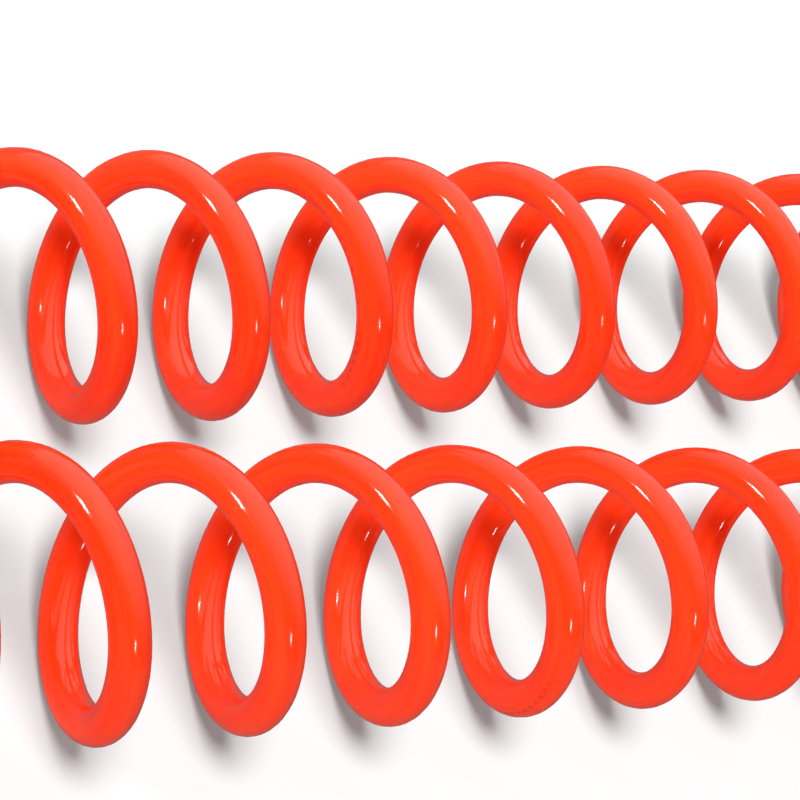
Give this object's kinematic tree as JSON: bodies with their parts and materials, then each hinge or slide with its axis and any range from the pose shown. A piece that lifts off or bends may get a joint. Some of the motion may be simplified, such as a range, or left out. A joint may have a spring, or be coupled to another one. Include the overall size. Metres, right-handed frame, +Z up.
{
  "type": "coiled air hose",
  "caption": "Coiled polyurethane air hose doubled back in two rows, with a quick-connect socket on one end and a swivel plug on the other.",
  "frame": {"origin": "on the floor under the middle of the whole hose's bounding box", "axes": "+X along the two rows, towards the closed end where the coil turns back; the fittings point towards -X; +Y towards the row that ends in the socket; +Z up from the floor it lies on"},
  "size_m": [0.7198, 0.1438, 0.0576],
  "materials": {
    "hose": "glossy translucent orange-red polyurethane",
    "plated_brass": "nickel-plated, turned",
    "plain_brass": "turned",
    "sleeve_steel": "zinc-plated, straight-knurled",
    "plug_steel": "hardened, plated",
    "spring_steel": "drawn wire",
    "ball_steel": "polished",
    "seal_rubber": "matt black nitrile"
  },
  "bodies": {
    "hose": {"hose_coil_upper": "hose", "hose_coil_bend": "hose", "hose_coil_lower": "hose", "hose_tail_socket_end": "hose", "hose_tail_plug_end": "hose", "socket_body": "plated_brass", "sleeve_spring": "spring_steel", "sleeve_ring": "spring_steel", "plug_seal": "seal_rubber", "valve_seat": "plain_brass", "valve_spring": "spring_steel", "valve_guide": "plain_brass", "socket_adapter": "plated_brass", "adapter_washer": "seal_rubber", "socket_hose_nut": "plated_brass", "socket_spring_guard": "spring_steel", "plug_adapter": "plated_brass", "swivel_seal": "seal_rubber", "swivel_ring": "spring_steel", "plug_hose_nut": "plated_brass", "plug_spring_guard": "spring_steel"},
    "sleeve": {"locking_sleeve": "sleeve_steel"},
    "valve": {"valve_poppet": "plain_brass", "valve_seal": "seal_rubber"},
    "plug": {"plug_nipple": "plug_steel"},
    "ball_1": {"lock_ball_1": "ball_steel"},
    "ball_2": {"lock_ball_2": "ball_steel"},
    "ball_3": {"lock_ball_3": "ball_steel"},
    "ball_4": {"lock_ball_4": "ball_steel"},
    "ball_5": {"lock_ball_5": "ball_steel"},
    "ball_6": {"lock_ball_6": "ball_steel"}
  },
  "joints": [
    {"name": "sleeve_slide", "type": "slide", "parent": "hose", "child": "sleeve", "axis": [1, 0, 0], "range_m": [0, 0.005], "stiffness_N_per_m": 1000, "springref_m": -0.004, "deforming": ["sleeve_spring"]},
    {"name": "valve_slide", "type": "slide", "parent": "hose", "child": "valve", "axis": [1, 0, 0], "range_m": [0, 0.004], "stiffness_N_per_m": 500, "springref_m": -0.003, "deforming": ["valve_spring"]},
    {"name": "plug_swivel", "type": "hinge", "parent": "hose", "child": "plug", "pos_m": [-0.317, -0.05, 0.0081], "axis": [-1, 0, 0], "continuous": true},
    {"name": "ball_1_slide", "type": "slide", "parent": "hose", "child": "ball_1", "axis": [0, 0, -1], "range_m": [0, 0.0012]},
    {"name": "ball_2_slide", "type": "slide", "parent": "hose", "child": "ball_2", "axis": [0, 0.866, -0.5], "range_m": [0, 0.0012]},
    {"name": "ball_3_slide", "type": "slide", "parent": "hose", "child": "ball_3", "axis": [0, 0.866, 0.5], "range_m": [0, 0.0012]},
    {"name": "ball_4_slide", "type": "slide", "parent": "hose", "child": "ball_4", "axis": [0, 0, 1], "range_m": [0, 0.0012]},
    {"name": "ball_5_slide", "type": "slide", "parent": "hose", "child": "ball_5", "axis": [0, -0.866, 0.5], "range_m": [0, 0.0012]},
    {"name": "ball_6_slide", "type": "slide", "parent": "hose", "child": "ball_6", "axis": [0, -0.866, -0.5], "range_m": [0, 0.0012]}
  ],
  "couplings": [
    {"joint": "ball_1_slide", "follows": "sleeve_slide", "ratio": 0.24},
    {"joint": "ball_2_slide", "follows": "sleeve_slide", "ratio": 0.24},
    {"joint": "ball_3_slide", "follows": "sleeve_slide", "ratio": 0.24},
    {"joint": "ball_4_slide", "follows": "sleeve_slide", "ratio": 0.24},
    {"joint": "ball_5_slide", "follows": "sleeve_slide", "ratio": 0.24},
    {"joint": "ball_6_slide", "follows": "sleeve_slide", "ratio": 0.24}
  ]
}
